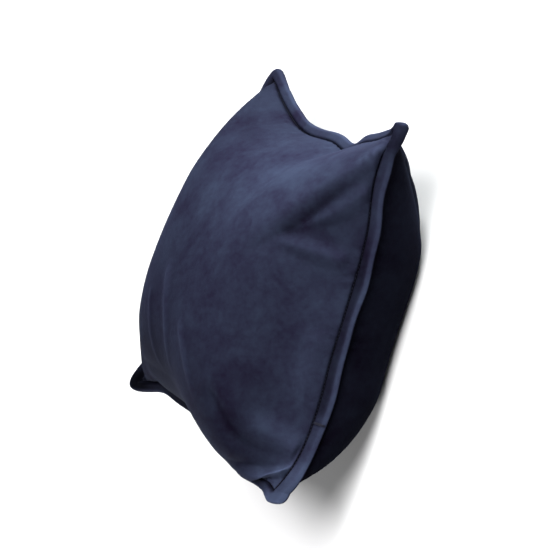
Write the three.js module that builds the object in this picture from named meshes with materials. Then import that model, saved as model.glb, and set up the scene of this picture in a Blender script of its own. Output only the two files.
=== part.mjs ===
// A square velvet cushion that lies on its back: two panels sewn together, turned and
// topstitched into a flat flange, with four pointed ears and a soft filling.
// Millimetres. +X is the face's right, +Y its top and +Z its front.
// The origin is the middle of the box's bottom, where the cushion rests.

import * as THREE from "three";

// Driving dimensions
const FLANGE_WIDTH = 12;
const FLANGE_HALF_THICKNESS = 2.4;
const FLANGE_FLAT_FROM = 0.25;
const FLANGE_FLAT_TO = 0.82;
const CHANNEL_HALF_THICKNESS = 1.3;
const SEAM_HEIGHT = 86;
const FRONT_CROWN = 94;
const BACK_CROWN = 98;
const CROWN_BREADTH = 2.8;
const CROWN_POWER = 0.49;
const REST_ROUNDING = 7;
const REST_FLAT = 0.2;
const CELLS = 42;

// How much more gently the front rises from its right and its top seam, and how much more
// bluffly the back rises at its lower right corner.
const GENTLE_RIGHT = 0.28;
const GENTLE_TOP = 0.5;
const BLUFF_CORNER = 0.15;

// The stitched corners: the place in plan, the lean towards the front, the twist that lifts the
// seam along x beside the corner, the hook that bends the last of it over, and the shares of the
// front and of the back that no filling reaches.
const CORNERS = [
  { u: -1, v: 1, x: -169, y: 166, lean: -12, twist: 0, hook: [0, 0, 0], empty: [0.03, 0.03] },
  { u: 1, v: 1, x: 167, y: 168, lean: 13, twist: 0, hook: [0, 0, 0], empty: [0.03, 0.03] },
  { u: 1, v: -1, x: 172, y: -163, lean: -18, twist: 230, hook: [-14, -10, 28], empty: [0.2, 0.035] },
  { u: -1, v: -1, x: -175, y: -157, lean: 22, twist: 0, hook: [0, -3, 0], empty: [0.07, 0.07] },
];
const LEAN_POWER = 5;
const HOOK_POWER = 10;

// The flange at the ears: wider, thicker, and rounded off.
const EAR_REACH = 0.16;
const EAR_LONGER = 0.1;
const EAR_THICKER = 0.5;
const EAR_ROUNDNESS = 3;

// How each seam is drawn in between its ears: the depth in plan, where along the side the
// deepest point is, how round (2) or sharp (1) it is there, and how far the seam sinks. Then
// how far the flange's edge stands towards the front at the seam's start, middle and end.
const SIDES = {
  top: { drawIn: 27, deepestAt: 0.04, roundness: 1.7, sink: 15, rise: [-1, -2, -2] },
  right: { drawIn: 21, deepestAt: 0, roundness: 2.2, sink: 7, rise: [-12, -11, -8] },
  bottom: { drawIn: 6, deepestAt: -0.5, roundness: 2.1, sink: -1, rise: [-2, -3, 5] },
  left: { drawIn: 17, deepestAt: 0, roundness: 2.2, sink: -14, rise: [2, 0, 0] },
};
const RISE_REACH = 0.24;

// Short kinks of the seams: where along the side, how wide, and how far they draw it in and
// lift it. A kink that bows the seam out has a negative depth. All fade out at the ears.
const KINKS = [
  { side: "top", at: 0.2, width: 0.15, depth: 9, lift: -2 },
  { side: "top", at: -0.42, width: 0.42, depth: 14, lift: 0 },
  { side: "right", at: 0.74, width: 0.24, depth: 7, lift: 5 },
  { side: "right", at: -0.3, width: 0.14, depth: 2, lift: 0 },
  { side: "bottom", at: -0.78, width: 0.12, depth: 4, lift: 0 },
  { side: "bottom", at: 0.42, width: 0.34, depth: -13, lift: 0 },
  { side: "left", at: 0.3, width: 0.2, depth: 3, lift: 0 },
  { side: "left", at: -0.45, width: 0.16, depth: 2.5, lift: 0 },
];
const KINK_FADE = 4;

// How much thicker the filling lies towards the top and the right of each panel.
const FRONT_FULLER = { up: -0.05, right: 0.07 };
const BACK_FULLER = { up: 0.05, right: 0.1 };

// Where the front panel hangs over the bottom seam, or is held back from it where the value is
// negative: the place along the seam, the width, the share of the way up the panel, and how far.
const BELLIES = [
  { at: 0.1, width: 0.6, up: 0.115, overhang: -8 },
  { at: 0.76, width: 0.24, up: 0.05, overhang: 16 },
];

// Folds of each panel: the places where a fold starts, bends and ends, from -1 to 1 by the
// length of cloth across the panel, then its width and its height. A trough's height is
// negative, and its bottom is sharper than a ridge's top.
const fold = (start, bend, end, width, height) => ({ through: [start, bend, end], width, height });
const TROUGH_ROUNDING = 0.35;
const FRONT_FOLDS = {
  sweep_ridge: fold([0.98, 0.79], [0.77, 0.585], [0.34, 0.2], 0.08, 9),
  sweep_trough: fold([0.98, 0.65], [0.74, 0.47], [0.36, 0.08], 0.05, -14),
  sweep_inner_ridge: fold([0.98, 0.55], [0.76, 0.39], [0.56, 0.24], 0.045, 6),
  sweep_branch: fold([0.94, 0.4], [0.72, 0.32], [0.48, 0.24], 0.04, -6),
  crease_trough: fold([0.9, 0.24], [0.68, 0.26], [0.48, 0.29], 0.035, -5),
  crease_ridge: fold([0.92, 0.195], [0.7, 0.22], [0.46, 0.25], 0.04, 5),
  bottom_arc: fold([0.4, -0.46], [0.6, -0.66], [0.8, -0.72], 0.045, -6),
  bottom_swell: fold([0.95, -0.66], [0.8, -0.62], [0.62, -0.58], 0.07, 5),
  corner_crease: fold([0.99, -0.7], [0.76, -0.79], [0.4, -0.87], 0.045, -13),
  corner_lip: fold([0.99, -0.78], [0.79, -0.85], [0.38, -0.93], 0.035, 10),
  right_swell: fold([0.88, -0.1], [0.87, -0.32], [0.86, -0.55], 0.06, 2.5),
  bottom_left_low: fold([-0.95, -0.94], [-0.5, -0.74], [0.1, -0.68], 0.05, -4),
  bottom_left_middle: fold([-0.93, -0.9], [-0.6, -0.6], [-0.3, -0.34], 0.055, -4),
  bottom_left_high: fold([-0.95, -0.86], [-0.78, -0.5], [-0.7, -0.1], 0.05, -3.5),
  top_left_low: fold([-0.95, 0.92], [-0.72, 0.62], [-0.56, 0.3], 0.06, -4),
  top_left_high: fold([-0.92, 0.95], [-0.5, 0.76], [-0.1, 0.7], 0.045, -3),
};
const BACK_FOLDS = {
  top_left: fold([-0.95, 0.94], [-0.6, 0.62], [-0.4, 0.4], 0.07, -6),
  top_right: fold([0.95, 0.94], [0.64, 0.6], [0.48, 0.3], 0.07, -6),
  top_right_high: fold([0.92, 0.95], [0.56, 0.74], [0.2, 0.66], 0.05, -4),
  bottom_right: fold([0.95, -0.94], [0.6, -0.62], [0.4, -0.42], 0.07, -6),
  bottom_left: fold([-0.95, -0.94], [-0.64, -0.62], [-0.4, -0.4], 0.07, -5),
  bottom_left_side: fold([-0.95, -0.88], [-0.78, -0.5], [-0.7, -0.14], 0.05, -4),
};
const FOLD_STEPS = 24;
const FOLD_RISE = 0.2;
const FOLD_FALL = 0.45;
const FOLD_FADE = 2;
const FOLD_HEM = 0.06;

// Steps along a panel's middle lines when the cloth's length across it is measured.
const CLOTH_STEPS = 400;

// How far apart, in a panel's own coordinates, two points are that give a direction.
const NEARBY = 1e-3;

const clamp = (value, low, high) => Math.min(high, Math.max(low, value));
const mix = (a, b, share) => a + (b - a) * share;
const smoothed = (share) => share * share * (3 - 2 * share);
const smooth = (share) => smoothed(clamp(share, 0, 1));
const bump = (distance, width) => Math.exp(-Math.pow(distance / width, 2));

// 1 at the side's deepest point and 0 at its two corners.
function drawnIn(along, side) {
  const reach = along > side.deepestAt ? 1 - side.deepestAt : 1 + side.deepestAt;
  return 1 - Math.pow(Math.abs(along - side.deepestAt) / reach, side.roundness);
}

const cornerAt = (u, v) => CORNERS.find((corner) => corner.u === u && corner.v === v);

// A point of one stitched seam in plan, with its sink as height.
function seamPoint(name, along) {
  const side = SIDES[name];
  const upright = name === "left" || name === "right";
  const sign = name === "left" || name === "bottom" ? -1 : 1;
  const first = upright ? cornerAt(sign, -1) : cornerAt(-1, sign);
  const last = upright ? cornerAt(sign, 1) : cornerAt(1, sign);
  const share = (along + 1) / 2;
  const depth = drawnIn(along, side);
  let inward = side.drawIn * depth;
  let height = -side.sink * depth;
  for (const kink of KINKS) {
    if (kink.side !== name) continue;
    const here = bump(along - kink.at, kink.width) * Math.min(1, depth * KINK_FADE);
    inward += kink.depth * here;
    height += kink.lift * here;
  }
  return new THREE.Vector3(
    mix(first.x, last.x, share) - (upright ? sign * inward : 0),
    mix(first.y, last.y, share) - (upright ? 0 : sign * inward),
    height,
  );
}

// How near a place is to a corner, from 0 along the two far seams to 1 at the corner.
const nearCorner = (u, v, corner) => (1 + u * corner.u) * (1 + v * corner.v) / 4;

// The sheet that spans the four seams: a Coons patch with leaning corners, hooked or not.
function sheetPoint(u, v, hooked = true) {
  const right = (u + 1) / 2;
  const up = (v + 1) / 2;
  const point = seamPoint("left", v).multiplyScalar(1 - right);
  point.addScaledVector(seamPoint("right", v), right);
  point.addScaledVector(seamPoint("bottom", u), 1 - up);
  point.addScaledVector(seamPoint("top", u), up);
  for (const corner of CORNERS) {
    const near = nearCorner(u, v, corner);
    point.x -= corner.x * near;
    point.y -= corner.y * near;
    const twist = corner.twist * (1 - u * corner.u) / 2;
    point.z += (corner.lean + twist) * Math.pow(near, LEAN_POWER);
    const hook = new THREE.Vector3(...corner.hook);
    if (hooked) point.addScaledVector(hook, Math.pow(near, HOOK_POWER));
  }
  point.z += SEAM_HEIGHT;
  return point;
}

// How full a panel is at a place, from 0 at the seams to about 1 in the middle.
function fullness(u, v, side) {
  const across = 1 - Math.pow(Math.abs(u), CROWN_BREADTH);
  const along = 1 - Math.pow(Math.abs(v), CROWN_BREADTH);
  const fuller = side > 0 ? FRONT_FULLER : BACK_FULLER;
  const bluff = -BLUFF_CORNER * smooth(u * 2) * smooth(-v * 2);
  const gentleAcross = side > 0 ? GENTLE_RIGHT * smooth(u * 2) : bluff;
  const gentleAlong = side > 0 ? GENTLE_TOP * smooth(v * 2) * smooth(u + 0.5) : bluff;
  let full = Math.pow(Math.max(0, across), CROWN_POWER + gentleAcross);
  full *= Math.pow(Math.max(0, along), CROWN_POWER + gentleAlong);
  full *= 1 + fuller.up * v + fuller.right * u;
  for (const corner of CORNERS) {
    full *= smooth((1 - nearCorner(u, v, corner)) / corner.empty[side > 0 ? 0 : 1]);
  }
  return full;
}

// A point of a panel before its folds: the front (side 1) or the back (side -1).
function crownPoint(u, v, side) {
  const point = sheetPoint(u, v);
  const crown = side > 0 ? FRONT_CROWN : BACK_CROWN;
  point.z += side * crown * fullness(u, v, side);
  if (side < 0) return point;
  for (const belly of BELLIES) {
    const up = (1 + v) / 2 / belly.up;
    const along = bump(u - belly.at, belly.width) * (1 - Math.pow(u, 4)) * (1 - v) / 2;
    point.y -= belly.overhang * along * up * Math.exp(1 - up);
  }
  return point;
}

// The outward normal of a panel before its folds.
function crownNormal(u, v, side) {
  const left = crownPoint(clamp(u - NEARBY, -1, 1), v, side);
  const right = crownPoint(clamp(u + NEARBY, -1, 1), v, side);
  const low = crownPoint(u, clamp(v - NEARBY, -1, 1), side);
  const high = crownPoint(u, clamp(v + NEARBY, -1, 1), side);
  return right.sub(left).cross(high.sub(low)).normalize().multiplyScalar(side);
}

// Each fold with the places along its curve.
function routed(folds) {
  return Object.values(folds).map(({ through, width, height }) => {
    const places = through.map(([u, v]) => new THREE.Vector2(u, v));
    return { places: new THREE.SplineCurve(places).getPoints(FOLD_STEPS), width, height };
  });
}

const frontFolds = routed(FRONT_FOLDS);
const backFolds = routed(BACK_FOLDS);

// The grid's places get closer towards the seams.
const eased = (step, steps) => Math.sin((Math.PI / 2) * ((2 * step) / steps - 1));

// The places of a panel's middle lines, each with its share of the cloth's length across.
function clothRuler() {
  const lines = [(at) => crownPoint(at, 0, 1), (at) => crownPoint(0, at, 1)];
  const runs = lines.map((pointAt) => {
    const run = [0];
    for (let step = 1; step <= CLOTH_STEPS; step++) {
      const from = pointAt(eased(step - 1, CLOTH_STEPS));
      run.push(run[step - 1] + from.distanceTo(pointAt(eased(step, CLOTH_STEPS))));
    }
    return run;
  });
  const whole = runs[0][CLOTH_STEPS] + runs[1][CLOTH_STEPS];
  return runs[0].map((_, step) => {
    const rest = CLOTH_STEPS - step;
    return (runs[0][step] - runs[0][rest] + runs[1][step] - runs[1][rest]) / whole;
  });
}

const ruler = clothRuler();

// A panel coordinate as a share of the cloth's length, from -1 to 1.
function clothShare(at) {
  const step = (Math.asin(clamp(at, -1, 1)) / Math.PI + 0.5) * CLOTH_STEPS;
  const before = Math.min(Math.floor(step), CLOTH_STEPS - 1);
  return mix(ruler[before], ruler[before + 1], step - before);
}

// The height that the folds add to a place on a panel. Ridges fade out at the hem, and troughs
// where there is no filling.
function foldHeight(u, v, folds, full) {
  const across = clothShare(u);
  const along = clothShare(v);
  const hem = smooth((1 - Math.max(Math.abs(across), Math.abs(along))) / FOLD_HEM);
  const filled = Math.min(1, full * FOLD_FADE);
  let sum = 0;
  for (const { places, width, height } of folds) {
    let nearest = Infinity;
    let share = 0;
    for (let step = 0; step < FOLD_STEPS; step++) {
      const way = places[step + 1].clone().sub(places[step]);
      const here = new THREE.Vector2(across, along).sub(places[step]);
      const part = clamp(here.dot(way) / way.lengthSq(), 0, 1);
      const distance = here.addScaledVector(way, -part).length();
      if (distance >= nearest) continue;
      nearest = distance;
      share = (step + part) / FOLD_STEPS;
    }
    const ends = smooth(share / FOLD_RISE) * smooth((1 - share) / FOLD_FALL);
    const blunt = TROUGH_ROUNDING * width;
    const sharp = Math.exp((blunt - Math.hypot(nearest, blunt)) / width);
    sum += height * ends * (height > 0 ? hem * bump(nearest, width) : filled * sharp);
  }
  return sum;
}

// Flattens what would lie under the surface that the cushion rests on. What would hover hardly
// above that surface lies on it too, so that the flat has a clear edge.
function pressFlat(z) {
  if (z >= REST_ROUNDING) return z;
  const rounded = Math.pow(Math.max(0, z + REST_ROUNDING), 2) / (4 * REST_ROUNDING);
  return rounded < REST_FLAT ? 0 : rounded;
}

// Rows of the grid across a panel: the flange's rings outside, the crown's cells inside.
function gridStations() {
  const rings = [
    { out: FLANGE_WIDTH, half: 0 },
    { out: FLANGE_WIDTH * FLANGE_FLAT_TO, half: FLANGE_HALF_THICKNESS },
    { out: FLANGE_WIDTH * FLANGE_FLAT_FROM, half: FLANGE_HALF_THICKNESS },
  ];
  const stations = rings.map((ring) => ({ at: -1, ...ring }));
  for (let cell = 0; cell <= CELLS; cell++) {
    stations.push({ at: eased(cell, CELLS), out: 0, half: CHANNEL_HALF_THICKNESS });
  }
  for (const ring of rings.reverse()) stations.push({ at: 1, ...ring });
  return stations;
}

// How far the flange's edge stands towards the front at a place along a side.
function riseAt(name, along) {
  const [start, middle, end] = SIDES[name].rise;
  const atEnd = 1 - smooth((1 - Math.abs(along)) / RISE_REACH);
  return mix(middle, along < 0 ? start : end, atEnd);
}

// The flange's direction at a seam: outwards in the unhooked sheet, then up by the side's rise.
function outward(u, v, axis) {
  const inward = 1 - NEARBY;
  const across = axis === "u";
  const inner = across ? sheetPoint(u * inward, v, false) : sheetPoint(u, v * inward, false);
  const direction = sheetPoint(u, v, false).sub(inner).normalize();
  const names = across ? ["left", "right"] : ["bottom", "top"];
  const name = names[(across ? u : v) > 0 ? 1 : 0];
  direction.z += riseAt(name, across ? v : u) / FLANGE_WIDTH;
  return direction.normalize();
}

// How near a place on the seams is to a corner, from 0 to 1 over an ear's length.
const earShare = (u, v) => smooth(1 - Math.hypot(1 - Math.abs(u), 1 - Math.abs(v)) / EAR_REACH);

// What scales the flange's two offsets, so that the ears are wider and their corners round.
function earScale(out, otherOut, share) {
  const longest = Math.max(out, otherOut);
  const powers = Math.pow(out, EAR_ROUNDNESS) + Math.pow(otherOut, EAR_ROUNDNESS);
  const total = Math.pow(powers, 1 / EAR_ROUNDNESS);
  return (1 + EAR_LONGER * share) * (total > 0 ? longest / total : 1);
}

// A grid point on the front panel (side 1) or the back panel (side -1).
function panelPoint(across, along, side) {
  const u = across.at;
  const v = along.at;
  const point = crownPoint(u, v, side);
  const folded = foldHeight(u, v, side > 0 ? frontFolds : backFolds, fullness(u, v, side));
  const inside = 1 - NEARBY;
  const normal = crownNormal(clamp(u, -inside, inside), clamp(v, -inside, inside), side);
  point.addScaledVector(normal, folded);
  const ear = earShare(u, v);
  const scale = earScale(across.out, along.out, ear);
  if (across.out > 0) point.addScaledVector(outward(u, v, "u"), across.out * scale);
  if (along.out > 0) point.addScaledVector(outward(u, v, "v"), along.out * scale);
  const half = across.out > along.out ? across.half : along.half;
  point.z += side * half * (1 + EAR_THICKER * ear);
  if (side < 0) point.z = pressFlat(point.z);
  return point;
}

// Both panels as one closed skin that shares the flange's outer edge.
function cushionGeometry() {
  const stations = gridStations();
  const last = stations.length - 1;
  const positions = [];
  for (const side of [1, -1]) {
    const grid = stations.map((across) => stations.map((along) => panelPoint(across, along, side)));
    for (let i = 0; i < last; i++) {
      for (let j = 0; j < last; j++) {
        const a = grid[i][j];
        const b = grid[i + 1][j];
        const c = grid[i + 1][j + 1];
        const d = grid[i][j + 1];
        // The diagonal turns towards the middle, so that each ear is folded alike.
        const rising = (i + 0.5 - last / 2) * (j + 0.5 - last / 2) > 0;
        const faces = rising ? [a, b, c, a, c, d] : [a, b, d, b, c, d];
        if (side < 0) faces.reverse();
        for (const point of faces) positions.push(point.x, point.y, point.z);
      }
    }
  }
  const geometry = new THREE.BufferGeometry();
  geometry.setAttribute("position", new THREE.Float32BufferAttribute(positions, 3));
  // The ears are uneven, so the box's middle is moved onto the origin in plan.
  geometry.computeBoundingBox();
  const middle = geometry.boundingBox.getCenter(new THREE.Vector3());
  geometry.translate(-middle.x, -middle.y, 0);
  geometry.computeVertexNormals();
  return geometry;
}

const velvet = new THREE.MeshStandardMaterial({
  name: "navy_velvet",
  color: new THREE.Color(0x2c2f45),
  roughness: 0.95,
  metalness: 0,
});

const cushion = new THREE.Mesh(cushionGeometry(), velvet);
cushion.name = "cushion";

const squareCushion = new THREE.Group();
squareCushion.add(cushion);

export default squareCushion;
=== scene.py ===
# Looks for the square velvet cushion: its cover with sewn flange, folds and puckers, the
# topstitching, and a studio with the camera at the photograph's angle to the cushion's face.
# Sizes are millimetres in the cushion's own frame until a mesh is made, which is in metres.

import math

import bpy
import numpy as np
from mathutils import Matrix, Vector


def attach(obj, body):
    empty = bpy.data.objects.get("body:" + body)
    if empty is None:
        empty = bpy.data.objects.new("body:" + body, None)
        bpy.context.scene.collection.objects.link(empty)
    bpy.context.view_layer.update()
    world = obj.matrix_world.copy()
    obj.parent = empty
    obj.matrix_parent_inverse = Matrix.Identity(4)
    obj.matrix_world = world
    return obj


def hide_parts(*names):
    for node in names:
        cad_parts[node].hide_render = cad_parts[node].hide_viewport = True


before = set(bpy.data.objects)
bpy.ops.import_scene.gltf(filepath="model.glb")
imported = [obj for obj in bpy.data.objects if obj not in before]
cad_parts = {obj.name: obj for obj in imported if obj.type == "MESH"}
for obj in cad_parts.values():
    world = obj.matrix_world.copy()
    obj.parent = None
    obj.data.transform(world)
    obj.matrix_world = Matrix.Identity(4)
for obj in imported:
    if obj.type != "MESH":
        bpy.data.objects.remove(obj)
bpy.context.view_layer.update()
METRES = 0.001

# Driving sizes, the same as the part's own
FLANGE_WIDTH = 12.0
FLANGE_HALF_THICKNESS = 2.4
CHANNEL_HALF_THICKNESS = 1.3
SEAM_HEIGHT = 86.0
FRONT_CROWN = 94.0
BACK_CROWN = 98.0
CROWN_BREADTH = 2.8
CROWN_POWER = 0.49
GENTLE_RIGHT = 0.28
GENTLE_TOP = 0.5
BLUFF_CORNER = 0.15
REST_ROUNDING = 7.0
REST_FLAT = 0.2
CAD_CELLS = 42
# The rings of the part's own flange: share of its width, and half its thickness.
CAD_RINGS = [(0.25, FLANGE_HALF_THICKNESS), (0.82, FLANGE_HALF_THICKNESS), (1.0, 0.0)]

# The stitched corners: place in plan, lean towards the front, the twist that lifts the seam which
# runs along x, the hook of the outermost corner, and the shares of the front and of the back that
# no filling reaches.
CORNERS = {
    (-1, 1): {"x": -169, "y": 166, "lean": -12, "twist": 0, "hook": (0, 0, 0), "empty": (0.03, 0.03)},
    (1, 1): {"x": 167, "y": 168, "lean": 13, "twist": 0, "hook": (0, 0, 0), "empty": (0.03, 0.03)},
    (1, -1): {"x": 172, "y": -163, "lean": -18, "twist": 230, "hook": (-14, -10, 28), "empty": (0.2, 0.035)},
    (-1, -1): {"x": -175, "y": -157, "lean": 22, "twist": 0, "hook": (0, -3, 0), "empty": (0.07, 0.07)},
}
EAR_ROUNDNESS = 3
EAR_THICKER = 0.5
EAR_LONGER = 0.1
EAR_REACH = 0.16
RISE_REACH = 0.24
LEAN_POWER = 5
HOOK_POWER = 10

# How each seam is drawn in between its ears and how far it sinks, and how far its flange's edge
# stands towards the front at the seam's start, middle and end.
SIDES = {
    "top": {"draw_in": 27, "deepest_at": 0.04, "roundness": 1.7, "sink": 15, "rise": (-1, -2, -2)},
    "right": {"draw_in": 21, "deepest_at": 0.0, "roundness": 2.2, "sink": 7, "rise": (-12, -11, -8)},
    "bottom": {"draw_in": 6, "deepest_at": -0.5, "roundness": 2.1, "sink": -1, "rise": (-2, -3, 5)},
    "left": {"draw_in": 17, "deepest_at": 0.0, "roundness": 2.2, "sink": -14, "rise": (2, 0, 0)},
}
# Short kinks of the seams: side, place along it, width, depth and lift.
KINKS = [
    ("top", 0.2, 0.15, 9, -2),
    ("top", -0.42, 0.42, 14, 0),
    ("right", 0.74, 0.24, 7, 5),
    ("right", -0.3, 0.14, 2, 0),
    ("bottom", -0.78, 0.12, 4, 0),
    ("bottom", 0.42, 0.34, -13, 0),
    ("left", 0.3, 0.2, 3, 0),
    ("left", -0.45, 0.16, 2.5, 0),
]
KINK_FADE = 4
FRONT_FULLER = {"up": -0.05, "right": 0.07}
BACK_FULLER = {"up": 0.05, "right": 0.1}
# Where the front hangs over the bottom seam, or is held back where the depth is negative: place
# along the seam, width, share of the way up and depth.
BELLIES = [
    (0.1, 0.6, 0.115, -8),
    (0.76, 0.24, 0.05, 16),
]

# Folds of each panel: start, bend, end, width and height, placed by the length of cloth across
# the panel. A trough's height is negative, and its bottom is sharper than a ridge's top.
FRONT_FOLDS = [
    ((0.98, 0.79), (0.77, 0.585), (0.34, 0.2), 0.08, 9),
    ((0.98, 0.65), (0.74, 0.47), (0.36, 0.08), 0.05, -14),
    ((0.98, 0.55), (0.76, 0.39), (0.56, 0.24), 0.045, 6),
    ((0.94, 0.4), (0.72, 0.32), (0.48, 0.24), 0.04, -6),
    ((0.9, 0.24), (0.68, 0.26), (0.48, 0.29), 0.035, -5),
    ((0.92, 0.195), (0.7, 0.22), (0.46, 0.25), 0.04, 5),
    ((0.4, -0.46), (0.6, -0.66), (0.8, -0.72), 0.045, -6),
    ((0.95, -0.66), (0.8, -0.62), (0.62, -0.58), 0.07, 5),
    ((0.99, -0.7), (0.76, -0.79), (0.4, -0.87), 0.045, -13),
    ((0.99, -0.78), (0.79, -0.85), (0.38, -0.93), 0.035, 10),
    ((0.88, -0.1), (0.87, -0.32), (0.86, -0.55), 0.06, 2.5),
    ((-0.95, -0.94), (-0.5, -0.74), (0.1, -0.68), 0.05, -4),
    ((-0.93, -0.9), (-0.6, -0.6), (-0.3, -0.34), 0.055, -4),
    ((-0.95, -0.86), (-0.78, -0.5), (-0.7, -0.1), 0.05, -3.5),
    ((-0.95, 0.92), (-0.72, 0.62), (-0.56, 0.3), 0.06, -4),
    ((-0.92, 0.95), (-0.5, 0.76), (-0.1, 0.7), 0.045, -3),
]
BACK_FOLDS = [
    ((-0.95, 0.94), (-0.6, 0.62), (-0.4, 0.4), 0.07, -6),
    ((0.95, 0.94), (0.64, 0.6), (0.48, 0.3), 0.07, -6),
    ((0.92, 0.95), (0.56, 0.74), (0.2, 0.66), 0.05, -4),
    ((0.95, -0.94), (0.6, -0.62), (0.4, -0.42), 0.07, -6),
    ((-0.95, -0.94), (-0.64, -0.62), (-0.4, -0.4), 0.07, -5),
    ((-0.95, -0.88), (-0.78, -0.5), (-0.7, -0.14), 0.05, -4),
]
TROUGH_ROUNDING = 0.35
FOLD_STEPS = 24
FOLD_RISE = 0.2
FOLD_FALL = 0.45
FOLD_FADE = 2
FOLD_HEM = 0.06
CLOTH_STEPS = 400
NEARBY = 1e-3


def smooth(share):
    """A soft step from 0 to 1."""
    share = np.clip(share, 0, 1)
    return share * share * (3 - 2 * share)


def ramp(value, start, full):
    """A soft step that begins where the value passes start, and is whole at full."""
    return smooth((value - start) / (full - start))


def bump(distance, width):
    """A soft hump: 1 in its middle, and about a third of that at its width."""
    return np.exp(-((distance / width) ** 2))


def unit(vectors):
    """The same directions, each of length 1."""
    return vectors / np.maximum(np.linalg.norm(vectors, axis=-1, keepdims=True), 1e-12)


# The cushion's form, worked out as the part's source does


def seam_points(name, along):
    """The stitched seam between two corners, drawn in, sunk and kinked."""
    side = SIDES[name]
    upright = name in ("left", "right")
    sign = -1 if name in ("left", "bottom") else 1
    first = CORNERS[(sign, -1) if upright else (-1, sign)]
    last = CORNERS[(sign, 1) if upright else (1, sign)]
    share = (along + 1) / 2
    reach = np.where(along > side["deepest_at"], 1 - side["deepest_at"], 1 + side["deepest_at"])
    depth = 1 - (np.abs(along - side["deepest_at"]) / reach) ** side["roundness"]
    inward = side["draw_in"] * depth
    height = -side["sink"] * depth
    for where, at, width, kink, lift in KINKS:
        if where == name:
            share_here = bump(along - at, width) * np.minimum(1, depth * KINK_FADE)
            inward = inward + kink * share_here
            height = height + lift * share_here
    x = first["x"] + (last["x"] - first["x"]) * share - (sign * inward if upright else 0)
    y = first["y"] + (last["y"] - first["y"]) * share - (0 if upright else sign * inward)
    return np.stack([x, y, height], -1)


def sheet_points(u, v, hooked=True):
    """The surface that the two panels lie either side of, with its ears' hooks or without."""
    right = ((u + 1) / 2)[..., None]
    up = ((v + 1) / 2)[..., None]
    points = seam_points("left", v) * (1 - right) + seam_points("right", v) * right
    points = points + seam_points("bottom", u) * (1 - up) + seam_points("top", u) * up
    for (cu, cv), corner in CORNERS.items():
        near = (1 + u * cu) * (1 + v * cv) / 4
        points[..., 0] -= corner["x"] * near
        points[..., 1] -= corner["y"] * near
        twist = corner["twist"] * (1 - u * cu) / 2
        points[..., 2] += (corner["lean"] + twist) * near**LEAN_POWER
        if hooked:
            points += np.array(corner["hook"]) * (near**HOOK_POWER)[..., None]
    points[..., 2] += SEAM_HEIGHT
    return points


def fullness(u, v, side):
    """The filling's height, as a share of the crown: none at the seams and in the ears."""
    across = 1 - np.abs(u) ** CROWN_BREADTH
    along = 1 - np.abs(v) ** CROWN_BREADTH
    fuller = FRONT_FULLER if side > 0 else BACK_FULLER
    if side > 0:
        gentler = (GENTLE_RIGHT * smooth(u * 2), GENTLE_TOP * smooth(v * 2) * smooth(u + 0.5))
    else:
        gentler = (-BLUFF_CORNER * smooth(u * 2) * smooth(-v * 2),) * 2
    full = np.maximum(0, across) ** (CROWN_POWER + gentler[0])
    full = full * np.maximum(0, along) ** (CROWN_POWER + gentler[1])
    full = full * (1 + fuller["up"] * v + fuller["right"] * u)
    for (cu, cv), corner in CORNERS.items():
        near = (1 + u * cu) * (1 + v * cv) / 4
        full = full * smooth((1 - near) / corner["empty"][0 if side > 0 else 1])
    return full


def crown_points(u, v, side):
    """The panel as the filling rounds it out, before its folds."""
    points = sheet_points(u, v)
    points[..., 2] += side * (FRONT_CROWN if side > 0 else BACK_CROWN) * fullness(u, v, side)
    if side > 0:
        for at, width, height, overhang in BELLIES:
            up = (1 + v) / 2 / height
            along = bump(u - at, width) * (1 - u**4) * (1 - v) / 2
            points[..., 1] -= overhang * along * up * np.exp(1 - up)
    return points


def crown_normals(u, v, side):
    """The outward directions of the crown."""
    u_less, u_more = np.maximum(u - NEARBY, -1), np.minimum(u + NEARBY, 1)
    v_less, v_more = np.maximum(v - NEARBY, -1), np.minimum(v + NEARBY, 1)
    across = crown_points(u_more, v, side) - crown_points(u_less, v, side)
    along = crown_points(u, v_more, side) - crown_points(u, v_less, side)
    return unit(np.cross(across, along)) * side


def normals_inside(u, v, side):
    """The crown's normals, taken a little inside the seams, where they turn sharply."""
    inside = 1 - NEARBY
    return crown_normals(np.clip(u, -inside, inside), np.clip(v, -inside, inside), side)


def fold_route(start, bend, end):
    """Places along the smooth curve through a fold's start, bend and end."""
    places = [np.array(p, float) for p in (start, start, bend, end, end)]
    route = []
    for step in range(FOLD_STEPS + 1):
        at = step / FOLD_STEPS * 2
        i = min(int(at), 1)
        w = at - i
        p0, p1, p2, p3 = places[i : i + 4]
        v0, v1 = (p2 - p0) / 2, (p3 - p1) / 2
        cubed = 2 * p1 - 2 * p2 + v0 + v1
        squared = -3 * p1 + 3 * p2 - 2 * v0 - v1
        route.append(cubed * w**3 + squared * w**2 + v0 * w + p1)
    return np.array(route)


def cloth_ruler():
    """Shares of the cloth's length at places on the front's middle lines, and that length."""
    places = np.sin(np.linspace(-1, 1, CLOTH_STEPS + 1) * math.pi / 2)
    zero = np.zeros_like(places)
    shares = np.zeros_like(places)
    for line in (crown_points(places, zero, 1), crown_points(zero, places, 1)):
        steps = np.linalg.norm(np.diff(line, axis=0), axis=1)
        run = np.concatenate([[0], np.cumsum(steps)])
        shares += run - run[::-1]
    return shares / shares[-1], shares[-1] / 2


RULER_SHARES, CLOTH_LENGTH = cloth_ruler()


def cloth_share(at):
    """Where a place lies by the length of cloth across the panel, from -1 to 1."""
    steps = np.arcsin(np.clip(at, -1, 1)) / math.pi + 0.5
    return np.interp(steps * CLOTH_STEPS, np.arange(CLOTH_STEPS + 1), RULER_SHARES)


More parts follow.
